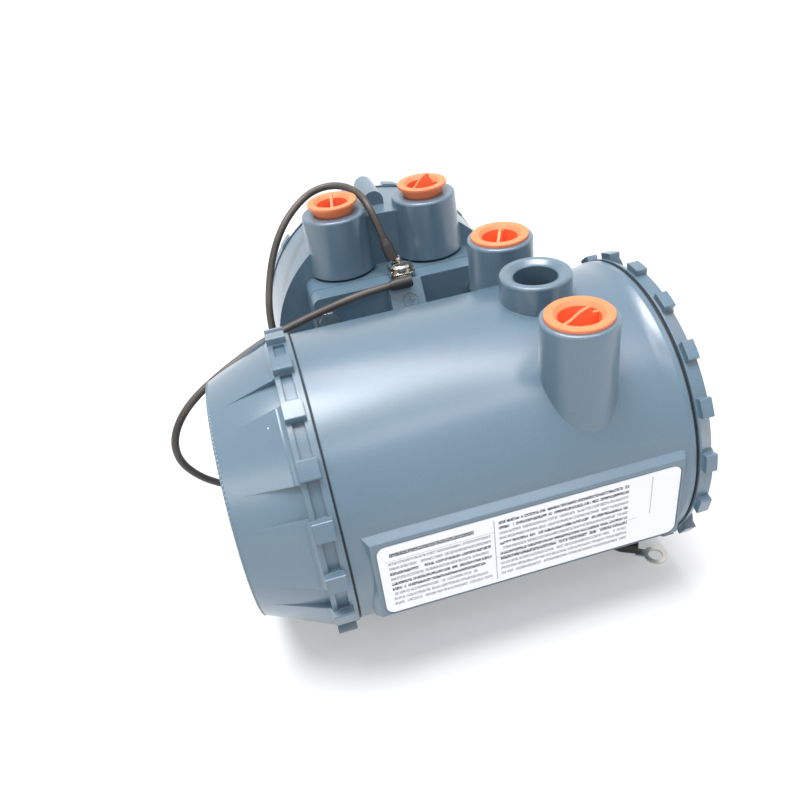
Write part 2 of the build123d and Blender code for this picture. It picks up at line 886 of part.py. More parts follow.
# Earthing screw of the terminal compartment
with BuildPart() as compartment_earth_screw:
    with BuildSketch(across(bulkhead_right)):
        with Locations((0, -compartment_screw_drop)):
            RegularPolygon(compartment_screw_across / 2, 6, major_radius=False)
    extrude(amount=compartment_screw_height)
    with BuildSketch(across(bulkhead_right + compartment_screw_height)):
        with Locations((0, -compartment_screw_drop)):
            Rectangle(compartment_screw_across + 2, screw_slot)
    extrude(amount=-screw_slot_depth, mode=Mode.SUBTRACT)
keep(compartment_earth_screw, "compartment_earth_screw")

# Junction box: square foot, round cup, two conduit bosses and a lock boss on its rim
with BuildPart() as junction_box:
    with BuildSketch(facing_back(base_front)):
        RectangleRounded(flange_width, flange_height, flange_corner)
    extrude(amount=foot_depth + 1)
    with BuildSketch(across_cup(cup_front)):
        Circle(cup_radius)
    extrude(amount=cup_depth)
    # Bosses of the two conduit entries, a little wider at their foot
    boss_rise = boss_height - boss_base
    with BuildSketch(Plane.XY.offset(axis_z + boss_base)):
        with Locations([(x, boss_y) for x in boss_xs]):
            Circle(boss_radius + boss_draft)
    extrude(amount=boss_rise, taper=math.degrees(math.atan(boss_draft / boss_rise)))
    boss_tops = junction_box.faces().sort_by(Axis.Z)[-2:]
    fillet(boss_tops.edges(), radius=boss_round)
    # Round-topped boss that carries the cover's lock
    with BuildSketch(facing_back(junction_parting - lock_length)):
        with Locations((-lock_offset, lock_height - lock_width)):
            Rectangle(lock_width, lock_width)
        with Locations((-lock_offset, lock_height - lock_width / 2)):
            Circle(lock_width / 2)
    extrude(amount=lock_length)
    # Inside of the cup, with the wider bore of the cover's thread
    with BuildSketch(across_cup(junction_parting)):
        Circle(cup_radius - cup_bore_wall)
    extrude(amount=-(junction_parting - cup_floor), mode=Mode.SUBTRACT)
    with BuildSketch(across_cup(junction_parting)):
        Circle(cup_thread_radius)
    extrude(amount=-thread_depth, mode=Mode.SUBTRACT)
    # Relief in the foot, wiring bore and tapped bolt holes
    with BuildSketch(facing_back(base_front)):
        Circle(neck_radius)
    extrude(amount=foot_relief, mode=Mode.SUBTRACT)
    with BuildSketch(facing_back(base_front)):
        Circle(neck_bore)
    extrude(amount=cup_floor - base_front, mode=Mode.SUBTRACT)
    with BuildSketch(facing_back(base_front)):
        with Locations(bolt_points):
            Circle(bolt_radius + thread_fit)
    extrude(amount=bolt_reach + 2, mode=Mode.SUBTRACT)
    # Conduit bores, open to the inside behind the cup's floor
    with BuildSketch(Plane.XY.offset(axis_z + boss_height)):
        with Locations([(x, boss_y) for x in boss_xs]):
            Circle(conduit_radius)
    extrude(amount=-boss_rise, mode=Mode.SUBTRACT)
keep(junction_box, "junction_box")

with BuildPart() as flange_gasket:
    with BuildSketch(facing_back(flange_back)):
        inset = 2 * flange_gasket_inset
        RectangleRounded(flange_width - inset, flange_height - inset, flange_corner)
        Circle(neck_radius, mode=Mode.SUBTRACT)
        with Locations(bolt_points):
            Circle(bolt_radius + bolt_clearance, mode=Mode.SUBTRACT)
    extrude(amount=flange_gasket_thickness)
keep(flange_gasket, "flange_gasket")

with BuildPart() as flange_bolts:
    with BuildSketch(facing_back(flange_front)):
        with Locations(bolt_points):
            RegularPolygon(bolt_head_across / 2, 6, major_radius=False)
    extrude(amount=-bolt_head_height)
    with BuildSketch(facing_back(flange_front)):
        with Locations(bolt_points):
            Circle(bolt_radius)
    extrude(amount=flange_thickness + flange_gasket_thickness + bolt_reach)
keep(flange_bolts, "flange_bolts")

keep(
    terminal_row(across_cup(cup_floor), junction_terminal_count, junction_block_drop),
    "junction_terminal_block",
)
keep(
    slotted_screws(across_cup(cup_floor), junction_terminal_count, junction_block_drop),
    "junction_terminal_screws",
)


def port_cap(x, y, seat_height, collar, turn, tab_rise):
    """Moulded cap: flat rim, tapered plug, bevelled well and a sail-shaped pull tab across it."""
    body = conduit_radius - cap_clearance
    flange = conduit_radius + cap_flange_overhang
    rim_bottom = seat_height + collar
    rim_top = rim_bottom + cap_flange_thickness
    tip = seat_height - cap_body_length
    floor_height = tip + cap_well_floor
    inner = body - cap_wall
    seat = Plane(origin=(x, y, axis_z), x_dir=(1, 0, 0), z_dir=(0, 0, 1))
    plug = [
        (0, tip),
        (body - cap_body_taper - cap_edge, tip),
        (body - cap_body_taper, tip + cap_edge),
        (body, seat_height),
    ]
    if collar > 0:
        plug += [
            (conduit_radius + cap_collar_foot, seat_height),
            (conduit_radius + cap_collar_head, rim_bottom),
        ]
    rim = [
        (flange, rim_bottom),
        (flange, rim_top - cap_edge),
        (flange - cap_edge, rim_top),
        (inner + cap_well_bevel, rim_top),
        (inner, rim_top - cap_well_bevel),
        (inner - cap_body_taper, floor_height),
        (0, floor_height),
    ]
    with BuildPart() as cap:
        with BuildSketch(side_view(seat)):
            with BuildLine():
                Polyline(*plug, *rim, close=True)
            make_face()
        revolve(axis=Axis(seat.origin, (0, 0, 1)))
        # Tab: its upper edge climbs in a double curve to the peak and drops steeply behind it
        low = (-inner, rim_top - tab_sink)
        peak = (0.5 * inner, rim_top + tab_rise)
        shoulder = (0.7 * inner, rim_top - cap_well_bevel)
        end = (inner, rim_top - cap_well_bevel)
        with BuildSketch(side_view(seat, turn)):
            with BuildLine():
                Spline(low, peak, tangents=[(1, 0), (1, 0)])
                Polyline(peak, shoulder, end, (inner, floor_height), (-inner, floor_height), low)
            make_face()
        extrude(amount=cap_web / 2, both=True)
    return cap


caps = {
    "front_port_cap": (port_x, port_ys[0], port_height, 0.0, 8, 1.2),
    "rear_port_cap": (port_x, port_ys[2], port_height, 0.0, 60, 1.2),
    "left_junction_cap": (boss_xs[0], boss_y, boss_height, cap_collar_height, 78, 2.6),
    "right_junction_cap": (boss_xs[1], boss_y, boss_height, cap_collar_height, 10, 4.0),
}
for cap_name, values in caps.items():
    keep(port_cap(*values), cap_name)

# Earthing screw and its clamp plate, whose turned-up sides keep the screw's head between them
earth_spot = (junction_x + earth_x, earth_y)
clamp_seat = earth_z + 2 * ring_thickness
screw_seat = clamp_seat + clamp_thickness
with BuildPart() as earth_clamp:
    with BuildSketch(Plane.XY.offset(clamp_seat)):
        with Locations(earth_spot):
            Rectangle(clamp_width, clamp_side)
            Circle(earth_screw_radius + ring_clearance / 2, mode=Mode.SUBTRACT)
    extrude(amount=clamp_thickness)
    lip_x = (clamp_width - clamp_thickness) / 2
    with BuildSketch(Plane.XY.offset(screw_seat)):
        with Locations((earth_spot[0] - lip_x, earth_y), (earth_spot[0] + lip_x, earth_y)):
            Rectangle(clamp_thickness, clamp_side)
    extrude(amount=clamp_lip)
keep(earth_clamp, "earth_clamp")

with BuildPart() as earth_screw:
    with BuildSketch(Plane.XY.offset(screw_seat)):
        with Locations(earth_spot):
            Circle(earth_head_radius)
    extrude(amount=earth_head_height)
    fillet(earth_screw.faces().sort_by(Axis.Z)[-1].edges(), radius=earth_head_round)
    with BuildSketch(Plane.XY.offset(earth_z - earth_screw_reach)):
        with Locations(earth_spot):
            Circle(earth_screw_radius)
    extrude(amount=screw_seat - earth_z + earth_screw_reach)
    with BuildSketch(Plane.XY.offset(screw_seat + earth_head_height)):
        with Locations(earth_spot):
            Rectangle(2 * earth_head_radius + 1, earth_slot, rotation=earth_slot_turn)
    extrude(amount=-earth_slot, mode=Mode.SUBTRACT)
keep(earth_screw, "earth_screw")

# Routes of the two leads, from the end of one crimp sleeve to the end of the other
rear_route = [
    (5.1, 61.2, 139.3),
    (2.9, 65.2, 148.6),
    (0.5, 72.3, 157.4),
    (-1.9, 85.5, 160.6),
    (-6.7, 97.5, 161.4),
    (-15.1, 105.7, 161.2),
    (-26.7, 106.5, 159.4),
    (-38.3, 101.1, 154.2),
    (-49.1, 93.5, 146.2),
    (-57.9, 85.5, 134.4),
    (-64.3, 76.1, 121.0),
    (-68.5, 66.7, 107.6),
    (-69.5, 58.1, 88.6),
    (-70.1, 51.1, 65.6),
    (-69.1, 47.1, 40.3),
    (-63.1, 43.5, 18.6),
    (-47.9, 37.1, 2.2),
    (-21.9, 26.1, 2.2),
    (4.1, 4.1, 2.2),
    (26.1, -24.9, 2.2),
    (44.1, -54.9, 2.2),
    (62.1, -73.9, 2.2),
    (78.5, -84.7, 3.4),
]
front_route = [
    (1.1, 41.5, 119.2),
    (-13.9, 41.3, 118.7),
    (-42.9, 36.2, 115.6),
    (-73.9, 27.1, 111.8),
    (-100.9, 15.3, 104.6),
    (-121.1, 6.3, 96.2),
    (-133.3, 3.1, 81.2),
    (-135.9, 5.7, 62.6),
    (-129.5, 13.7, 41.9),
    (-117.9, 23.1, 23.7),
    (-105.5, 31.7, 8.7),
    (-89.9, 41.1, 2.2),
    (-81.9, 58.1, 2.2),
    (-79.1, 75.1, 3.4),
]


def bend_radii(route):
    """Largest arc at each corner of a route that its two runs leave room for."""
    radii = []
    for before, corner, after in zip(route, route[1:], route[2:]):
        run_in = Vector(corner) - Vector(before)
        run_out = Vector(after) - Vector(corner)
        half_turn = math.radians(run_in.get_angle(run_out) / 2)
        radii.append(0.45 * min(run_in.length, run_out.length) / math.tan(half_turn))
    return radii


def lead(route, name):
    """One insulated lead along its route."""
    radii = bend_radii(route)
    with BuildPart() as tube:
        with BuildLine() as path:
            FilletPolyline(*route, radius=radii)
        with BuildSketch(path.line ^ 0):
            Circle(lead_radius)
        sweep()
    length = sum(edge.length for edge in path.edges())
    share = tube.part.volume / (math.pi * lead_radius**2 * length)
    print(name, "length", round(length, 1), "volume share", round(share, 4))
    print("radii", [round(radius, 1) for radius in radii])
    return keep(tube, name)


def crimp_sleeve(end, inside, name):
    """Shrink sleeve over the crimp at one end of a lead, narrowing where the lead leaves it."""
    out = (Vector(end) - Vector(inside)).normalized()
    seat = Plane(origin=end, z_dir=out)
    with BuildPart() as sleeve:
        with BuildSketch(side_view(seat)):
            with BuildLine():
                Polyline(
                    (0, 0),
                    (lead_radius + 0.1 * sleeve_neck, 0),
                    (sleeve_radius, sleeve_neck),
                    (sleeve_radius, sleeve_length),
                    (0, sleeve_length),
                    close=True,
                )
            make_face()
        revolve(axis=Axis(seat.origin, seat.z_dir))
    return keep(sleeve, name)


lead(rear_route, "rear_lead")
lead(front_route, "front_lead")
rear_sleeve = crimp_sleeve(rear_route[0], rear_route[1], "rear_lead_sleeve")
front_sleeve = crimp_sleeve(front_route[0], front_route[1], "front_lead_sleeve")
rear_far_sleeve = crimp_sleeve(rear_route[-1], rear_route[-2], "rear_lead_far_sleeve")
front_far_sleeve = crimp_sleeve(front_route[-1], front_route[-2], "front_lead_far_sleeve")

# Ring terminals under the clamp: the front one's tongue runs forward, the rear one's turns up
near_ring_radius = earth_screw_radius + ring_rim
near_ring_hole = earth_screw_radius + ring_clearance
with BuildPart() as front_lead_ring:
    with BuildSketch(Plane.XY.offset(earth_z)):
        with Locations(earth_spot):
            Circle(near_ring_radius)
        with Locations((earth_spot[0], earth_y - tongue_width)):
            Rectangle(tongue_width, 2 * tongue_width)
        with Locations(earth_spot):
            Circle(near_ring_hole, mode=Mode.SUBTRACT)
    extrude(amount=ring_thickness)
    add(front_sleeve.part, mode=Mode.SUBTRACT)
keep(front_lead_ring, "front_lead_ring")

tongue_x = earth_spot[0] - 1.2
tongue_y = earth_y + clamp_side / 2 + 1.2
with BuildPart() as rear_lead_ring:
    with BuildSketch(Plane.XY.offset(earth_z + ring_thickness)):
        with Locations(earth_spot):
            Circle(near_ring_radius)
        with Locations((tongue_x, (earth_y + tongue_y) / 2)):
            Rectangle(tongue_width, tongue_y - earth_y)
        with Locations(earth_spot):
            Circle(near_ring_hole, mode=Mode.SUBTRACT)
    extrude(amount=ring_thickness)
    with BuildSketch(Plane.XY.offset(earth_z + ring_thickness)):
        with Locations((tongue_x, tongue_y - ring_thickness / 2)):
            Rectangle(tongue_width, ring_thickness)
    extrude(amount=far_ring_reach)
    add(rear_sleeve.part, mode=Mode.SUBTRACT)
keep(rear_lead_ring, "rear_lead_ring")


def far_ring(route, sleeve, name):
    """Ring terminal lying flat on the surface at a lead's far end."""
    run = Vector(*route[-1][:2]) - Vector(*route[-2][:2])
    along = run.normalized()
    start = Vector(*route[-1][:2]) + along * sleeve_length
    flat = Plane(origin=start, x_dir=along, z_dir=(0, 0, 1))
    with BuildPart() as ring:
        with BuildSketch(flat):
            with Locations((far_ring_reach / 2, 0)):
                Rectangle(far_ring_reach + 2, tongue_width)
            with Locations((far_ring_reach, 0)):
                Circle(far_ring_radius)
                Circle(near_ring_hole, mode=Mode.SUBTRACT)
        extrude(amount=ring_thickness)
        add(sleeve.part, mode=Mode.SUBTRACT)
    return keep(ring, name)


far_ring(rear_route, rear_far_sleeve, "rear_lead_far_ring")
far_ring(front_route, front_far_sleeve, "front_lead_far_ring")
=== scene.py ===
import json
import math

import bpy
import numpy as np
from mathutils import Matrix, Vector


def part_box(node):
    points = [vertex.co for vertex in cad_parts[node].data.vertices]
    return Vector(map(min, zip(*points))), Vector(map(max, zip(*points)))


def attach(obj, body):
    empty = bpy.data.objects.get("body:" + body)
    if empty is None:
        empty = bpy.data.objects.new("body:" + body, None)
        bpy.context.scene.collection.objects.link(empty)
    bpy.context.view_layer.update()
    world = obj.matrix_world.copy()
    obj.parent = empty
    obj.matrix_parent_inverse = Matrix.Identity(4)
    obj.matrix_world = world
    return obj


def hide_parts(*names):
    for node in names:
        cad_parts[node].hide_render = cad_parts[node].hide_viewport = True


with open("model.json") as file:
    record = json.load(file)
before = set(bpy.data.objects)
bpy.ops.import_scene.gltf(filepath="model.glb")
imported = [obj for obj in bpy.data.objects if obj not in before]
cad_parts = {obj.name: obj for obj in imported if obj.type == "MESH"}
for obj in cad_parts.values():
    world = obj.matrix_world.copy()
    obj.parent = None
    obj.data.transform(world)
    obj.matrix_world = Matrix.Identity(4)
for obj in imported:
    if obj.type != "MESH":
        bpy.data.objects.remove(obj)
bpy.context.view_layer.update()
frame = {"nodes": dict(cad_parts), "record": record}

scene = bpy.context.scene
nodes = frame["nodes"]
mm = 0.001

# Places that several pieces share, read from the frame
plateLow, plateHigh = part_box("nameplate")
sealLow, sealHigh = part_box("electronics_cover_seal")
barrelAxis = ((sealLow.y + sealHigh.y) / 2, (sealLow.z + sealHigh.z) / 2)


# Camera and light

cameraSettings = dict(
    place=(-0.0692, -0.33981, 0.3129),
    heading=9.892,        # degrees east of +Y
    dip=35.174,           # degrees below the horizon
    roll=8.41,
    lens=33.9,
)


def makeCamera(s):
    heading, dip, roll = (math.radians(s[k]) for k in ("heading", "dip", "roll"))
    view = Vector((math.sin(heading) * math.cos(dip), math.cos(heading) * math.cos(dip), -math.sin(dip)))
    level = view.cross(Vector((0, 0, 1))).normalized()
    right = Matrix.Rotation(roll, 3, view) @ level
    up = right.cross(view)
    camera = bpy.data.objects.new("camera", bpy.data.cameras.new("camera"))
    camera.matrix_world = Matrix.Translation(s["place"]) @ Matrix((right, up, -view)).transposed().to_4x4()
    camera.data.lens = s["lens"]
    camera.data.sensor_width = 36
    camera.data.clip_start = 0.01
    scene.collection.objects.link(camera)
    scene.camera = camera


lightSettings = dict(
    top=dict(place=(0.17, 0.0, 0.90), aim=(0.03, -0.08, 0.13), size=0.09, long=0.9, power=2.8,
             colour=(0.98, 0.91, 1.0)),
    front=dict(place=(0.14, -0.50, 0.78), aim=(0.0, -0.10, 0.12), size=0.07, long=0.6, power=0.9,
               colour=(0.97, 0.94, 1.0)),
    left=dict(place=(-0.75, -0.45, 0.50), aim=(-0.05, -0.05, 0.08), size=0.16, long=0.5, power=1.1,
              colour=(1.0, 0.98, 1.0)),
    sun=dict(slant=(0.16, -0.02, -1.0), power=3.3, spread=30.0),
    world=0.31,           # what lights the object
    backdrop=1.05,        # what the camera, metal and glass see
)


def makeLight(name, s):
    lamp = bpy.data.lights.new(name, "AREA")
    lamp.shape = "RECTANGLE"
    lamp.energy = s["power"]
    lamp.size = s["long"]
    lamp.size_y = s["size"]
    lamp.color = s["colour"]
    obj = bpy.data.objects.new(name, lamp)
    away = Vector(s["place"]) - Vector(s["aim"])
    obj.matrix_world = Matrix.Translation(s["place"]) @ away.to_track_quat("Z", "Y").to_matrix().to_4x4()
    scene.collection.objects.link(obj)


def makeSun(s):
    lamp = bpy.data.lights.new("sunLamp", "SUN")
    lamp.energy = s["power"]
    lamp.angle = math.radians(s["spread"])
    obj = bpy.data.objects.new("sunLamp", lamp)
    obj.rotation_euler = Vector(s["slant"]).to_track_quat("-Z", "Y").to_euler()
    scene.collection.objects.link(obj)


# Shader maths: a socket that can be used in ordinary expressions

class Value:
    def __init__(self, tree, socket):
        self.tree = tree
        self.socket = socket

    def math(self, operation, *others, first=None):
        node = self.tree.nodes.new("ShaderNodeMath")
        node.operation = operation
        terms = [self, *others] if first is None else [first, self]
        for slot, term in zip(node.inputs, terms):
            if isinstance(term, Value):
                self.tree.links.new(term.socket, slot)
            else:
                slot.default_value = term
        return Value(self.tree, node.outputs[0])

    def __add__(self, other): return self.math("ADD", other)
    def __radd__(self, other): return self.math("ADD", other)
    def __sub__(self, other): return self.math("SUBTRACT", other)
    def __rsub__(self, other): return self.math("SUBTRACT", first=other)
    def __mul__(self, other): return self.math("MULTIPLY", other)
    def __rmul__(self, other): return self.math("MULTIPLY", other)
    def __truediv__(self, other): return self.math("DIVIDE", other)
    def __rtruediv__(self, other): return self.math("DIVIDE", first=other)
    def __gt__(self, other): return self.math("GREATER_THAN", other)
    def __lt__(self, other): return self.math("LESS_THAN", other)
    def floor(self): return self.math("FLOOR")
    def sin(self): return self.math("SINE")
    def abs(self): return self.math("ABSOLUTE")
    def clamp(self): return self.math("MAXIMUM", 0.0).math("MINIMUM", 1.0)

    def smooth(self, low, high):    # 0 below low, 1 above high
        return ((self - low) / (high - low)).clamp()


class Finish:
    def __init__(self, name):
        self.material = bpy.data.materials.new(name)
        self.material.use_nodes = True
        self.tree = self.material.node_tree
        self.tree.nodes.clear()
        self.output = self.tree.nodes.new("ShaderNodeOutputMaterial")
        self.shader = self.tree.nodes.new("ShaderNodeBsdfPrincipled")
        self.tree.links.new(self.shader.outputs[0], self.output.inputs[0])
        place = self.tree.nodes.new("ShaderNodeTexCoord")
        self.place = Value(self.tree, place.outputs["Object"])

    def node(self, kind, settings, inputs, output=0):
        made = self.tree.nodes.new(kind)
        for key, setting in settings.items():
            setattr(made, key, setting)
        for key, given in inputs.items():
            if isinstance(given, Value):
                self.tree.links.new(given.socket, made.inputs[key])
            else:
                made.inputs[key].default_value = given
        return Value(self.tree, made.outputs[output])

    def noise(self, scale, detail=2.0, place=None):
        spot = self.place if place is None else place
        return self.node("ShaderNodeTexNoise", {}, {"Vector": spot, "Scale": scale, "Detail": detail,
                                                    "Roughness": 0.5}, "Fac")

    def joined(self, x, y, z):
        return self.node("ShaderNodeCombineXYZ", {}, {"X": x, "Y": y, "Z": z})

    def axes(self):
        split = self.tree.nodes.new("ShaderNodeSeparateXYZ")
        self.tree.links.new(self.place.socket, split.inputs[0])
        return [Value(self.tree, o) for o in split.outputs]

    def mix(self, share, a, b):
        return self.node("ShaderNodeMix", {"data_type": "RGBA"}, {"Factor": share, 6: a, 7: b}, 2)

    def bump(self, height, distance, strength=1.0, under=None):
        inputs = {"Height": height, "Distance": distance, "Strength": strength}
        if under is not None:
            inputs["Normal"] = under
        return self.node("ShaderNodeBump", {}, inputs)

    def soften(self, radius):
        return self.node("ShaderNodeBevel", {"samples": 6}, {"Radius": radius})

    def set(self, **sockets):
        names = dict(colour="Base Color", rough="Roughness", metal="Metallic", normal="Normal", coat="Coat Weight",
                     coatRough="Coat Roughness", ior="IOR", through="Transmission Weight",
                     specular="Specular IOR Level", under="Subsurface Weight", underRadius="Subsurface Radius",
                     underScale="Subsurface Scale")
        for key, given in sockets.items():
            socket = self.shader.inputs[names[key]]
            if isinstance(given, Value):
                self.tree.links.new(given.socket, socket)
            else:
                socket.default_value = given
        return self.material


def rgb(r, g, b):                   # a colour as seen, 0 to 255, made linear
    def linear(c):
        c = c / 255
        return c / 12.92 if c <= 0.04045 else ((c + 0.055) / 1.055) ** 2.4
    return (linear(r), linear(g), linear(b), 1.0)


# Finishes

paintSettings = dict(
    colour=(92, 117, 133),
    pale=(122, 144, 162),
    deep=(80, 107, 124),
    cloudScale=22,
    grainScale=2400,
    peelScale=1500,
    peel=0.000025,
    softEdge=0.0008,
    speckScale=62.0,
    whiteSpeck=(236, 240, 248),
    darkSpeck=(44, 54, 66),
    coat=0.75,
    coatRough=0.27,
)


def paint():
    f = Finish("blue grey enamel")
    s = paintSettings
    cloud = f.noise(s["cloudScale"], 3)
    grain = f.noise(s["grainScale"], 2)
    peel = f.noise(s["peelScale"], 2)
    base = f.mix(cloud.smooth(0.35, 0.75) * 0.5, rgb(*s["colour"]), rgb(*s["deep"]))
    base = f.mix(grain.smooth(0.5, 0.8) * 0.30, base, rgb(*s["pale"]))
    speck = f.node("ShaderNodeTexVoronoi", {"feature": "F1"}, {"Vector": f.place, "Scale": s["speckScale"]}, "Distance")
    chance = f.noise(23, 0)         # whether a cell has a speck at all, and of which kind
    base = f.mix((speck < 0.020) * (chance > 0.60), base, rgb(*s["whiteSpeck"]))
    base = f.mix((speck < 0.016) * (chance < 0.38), base, rgb(*s["darkSpeck"]))
    rough = 0.30 + 0.08 * f.noise(300, 2)
    soft = f.soften(s["softEdge"])
    normal = f.bump(peel + 0.5 * grain, s["peel"], 0.5, soft)
    return f.set(colour=base, rough=rough, normal=normal, specular=0.5, coat=s["coat"], coatRough=s["coatRough"])


labelSettings = dict(       # in metres from the label's left and top edges
    rowPitch=0.0031,
    rowHeight=0.0017,
    rule=0.00022,
    leftRows=(0.004, 0.049, 0.0095, 0.0370),        # left, right, top, bottom
    rightRows=(0.053, 0.113, 0.0030, 0.0365),
    heading=(0.005, 0.042, 0.0042, 0.0064),
    ink=(24, 27, 34),
    paper=(244, 246, 250),
)


def label():
    # Greeked print: rows cut into word-like runs by a noise, in two blocks with thin rules beside them
    f = Finish("white label")
    s = labelSettings
    x, _, z = f.axes()
    fromLeft = x - plateLow.x
    fromTop = plateHigh.z - z

    def field(left, right, top, bottom):
        return (fromLeft > left) * (fromLeft < right) * (fromTop > top) * (fromTop < bottom)

    row = (fromTop / s["rowPitch"]).floor()
    within = (fromTop - row * s["rowPitch"]) < s["rowHeight"]
    words = f.noise(1.0, 2, f.joined(x * 520, row * 5.7, 0.0)) > 0.38
    broken = 0.22 + 0.78 * (f.noise(1.0, 0, f.joined(x * 1900, fromTop * 1100, 3.0)) > 0.46)
    weight = 0.62 + 0.38 * (f.noise(1.0, 0, f.joined(7.7, row * 4.1, 2.0)) > 0.5)
    ending = 0.55 + 0.9 * f.noise(1.0, 0, f.joined(3.1, row * 3.3, 1.0))    # where each ragged row stops
    left, right = s["leftRows"], s["rightRows"]
    leftBlock = field(*left) * ((fromLeft - left[0]) / (left[1] - left[0]) < ending)
    rightBlock = field(*right) * ((fromLeft - right[0]) / (right[1] - right[0]) < ending + 0.15)
    heading = field(*s["heading"])
    middle = ((fromLeft - 0.051).abs() < s["rule"]) * (fromTop > 0.002) * (fromTop < 0.038)
    side = ((fromLeft - 0.1240).abs() < s["rule"]) * (fromTop > 0.002) * (fromTop < 0.024)
    under = ((fromTop - 0.0086).abs() < s["rule"] * 0.6) * (fromLeft > 0.003) * (fromLeft < 0.051)
    across = ((fromTop - 0.0245).abs() < s["rule"] * 0.6) * (fromLeft > 0.051) * (fromLeft < 0.118)
    printed = words * within * broken * weight * (leftBlock + rightBlock).clamp()
    ink = (printed + heading * (0.35 + 0.65 * broken) * 0.9 + (middle + side + under + across) * 0.55).clamp()
    colour = f.mix(ink, rgb(*s["paper"]), rgb(*s["ink"]))
    rough = 0.40 + 0.08 * f.noise(300, 2)
    return f.set(colour=colour, rough=rough, normal=f.bump(f.noise(700, 1), 0.00002, 0.5), specular=0.45)


def steel(name, tone, roughness):
    f = Finish(name)
    fine = f.noise(900, 2)
    broad = f.noise(120, 3)
    colour = f.mix(broad, rgb(*tone), rgb(*[c * 0.86 for c in tone]))
    return f.set(colour=colour, metal=1.0, rough=roughness + 0.16 * broad, normal=f.bump(fine, 0.00003, 0.6,
                 f.soften(0.0003)))


def plain(name, tone, roughness, scale=300, depth=0.00003, **more):
    f = Finish(name)
    broad = f.noise(60, 3)
    fine = f.noise(scale, 2)
    colour = f.mix(broad * 0.6, rgb(*tone), rgb(*[min(255, c * 1.18 + 4) for c in tone]))
    return f.set(colour=colour, rough=roughness + 0.12 * (fine - 0.5), normal=f.bump(fine, depth, 0.6), **more)


capSettings = dict(tone=(255, 148, 100), deep=(252, 120, 70))


def orangePlastic():
    f = Finish("orange polyethylene")
    s = capSettings
    broad = f.noise(90, 2)
    colour = f.mix(broad * 0.5, rgb(*s["tone"]), rgb(*s["deep"]))
    normal = f.bump(f.noise(380, 2), 0.00004, 0.5, f.soften(0.0004))
    return f.set(colour=colour, rough=0.40 + 0.1 * f.noise(200, 2), normal=normal, under=0.12,
                 underRadius=(1.0, 0.35, 0.15), underScale=0.003, specular=0.45)


def cableSkin():
    f = Finish("black soft insulation")
    scuff = f.noise(220, 3)
    worn = f.noise(34, 2)
    colour = f.mix(worn.smooth(0.4, 0.75), rgb(58, 54, 50), rgb(92, 86, 79))
    return f.set(colour=colour, rough=0.34 + 0.22 * scuff, normal=f.bump(scuff, 0.00006, 0.5), specular=0.5)


def clearGlass():
    f = Finish("clear window glass")
    wave = f.noise(20, 1)
    return f.set(colour=rgb(228, 240, 238), rough=0.02 + 0.03 * wave, through=0.95, ior=1.5,
                 normal=f.bump(wave, 0.00002, 0.3))


def circuitBoard():
    f = Finish("green circuit board")
    y = f.axes()[1]
    tracks = ((y * 900).sin().abs() > 0.86) * (f.noise(40, 0) > 0.5)
    colour = f.mix(tracks * 0.7, rgb(24, 92, 50), rgb(60, 132, 76))
    return f.set(colour=colour, rough=0.35 + 0.1 * f.noise(200, 1), normal=f.bump(tracks, 0.00003, 0.5))


finishes = dict(
    blue_paint=paint(),
    label=label(),
    steel=steel("bright plated steel", (224, 222, 214), 0.16),
    rubber=plain("black rubber", (26, 26, 28), 0.62),
    potting=plain("black potting resin", (30, 30, 33), 0.30),
    board=circuitBoard(),
    brass=steel("turned brass", (206, 168, 96), 0.25),
    dark_plastic=plain("black moulded plastic", (34, 34, 37), 0.42),
    screen=plain("grey green display panel", (116, 128, 112), 0.12, 200, 0.00001),
    capacitor=steel("aluminium cans", (176, 178, 182), 0.28),
    glass=clearGlass(),
    orange=orangePlastic(),
    lead=cableSkin(),
    sleeve=plain("black shrink sleeve", (40, 37, 35), 0.46, 180, 0.00008),
)
slotOf = {part["node"]: part["material_slot"] for part in frame["record"]["subparts"]}
for name, node in nodes.items():
    node.data.materials.clear()
    node.data.materials.append(finishes[slotOf[name]])
print("finishes made:", len(finishes))


# The two earth leads: the routes are those of their CAD tubes

leadSettings = dict(
    radius=2.1,
    rear=[
        (5.1, 61.2, 139.3), (2.9, 65.2, 148.6), (0.5, 72.3, 157.4), (-1.9, 85.5, 160.6),
        (-6.7, 97.5, 161.4), (-15.1, 105.7, 161.2), (-26.7, 106.5, 159.4), (-38.3, 101.1, 154.2),
        (-49.1, 93.5, 146.2), (-57.9, 85.5, 134.4), (-64.3, 76.1, 121.0), (-68.5, 66.7, 107.6),
        (-69.5, 58.1, 88.6), (-70.1, 51.1, 65.6), (-69.1, 47.1, 40.3), (-63.1, 43.5, 18.6),
        (-47.9, 37.1, 2.2), (-21.9, 26.1, 2.2), (4.1, 4.1, 2.2), (26.1, -24.9, 2.2),
        (44.1, -54.9, 2.2), (62.1, -73.9, 2.2), (78.5, -84.7, 3.4),
    ],
    front=[
        (1.1, 41.5, 119.2), (-13.9, 41.3, 118.7), (-42.9, 36.2, 115.6), (-73.9, 27.1, 111.8),
        (-100.9, 15.3, 104.6), (-121.1, 6.3, 96.2), (-133.3, 3.1, 81.2), (-135.9, 5.7, 62.6),
        (-129.5, 13.7, 41.9), (-117.9, 23.1, 23.7), (-105.5, 31.7, 8.7), (-89.9, 41.1, 2.2),
        (-81.9, 58.1, 2.2), (-79.1, 75.1, 3.4),
    ],
)


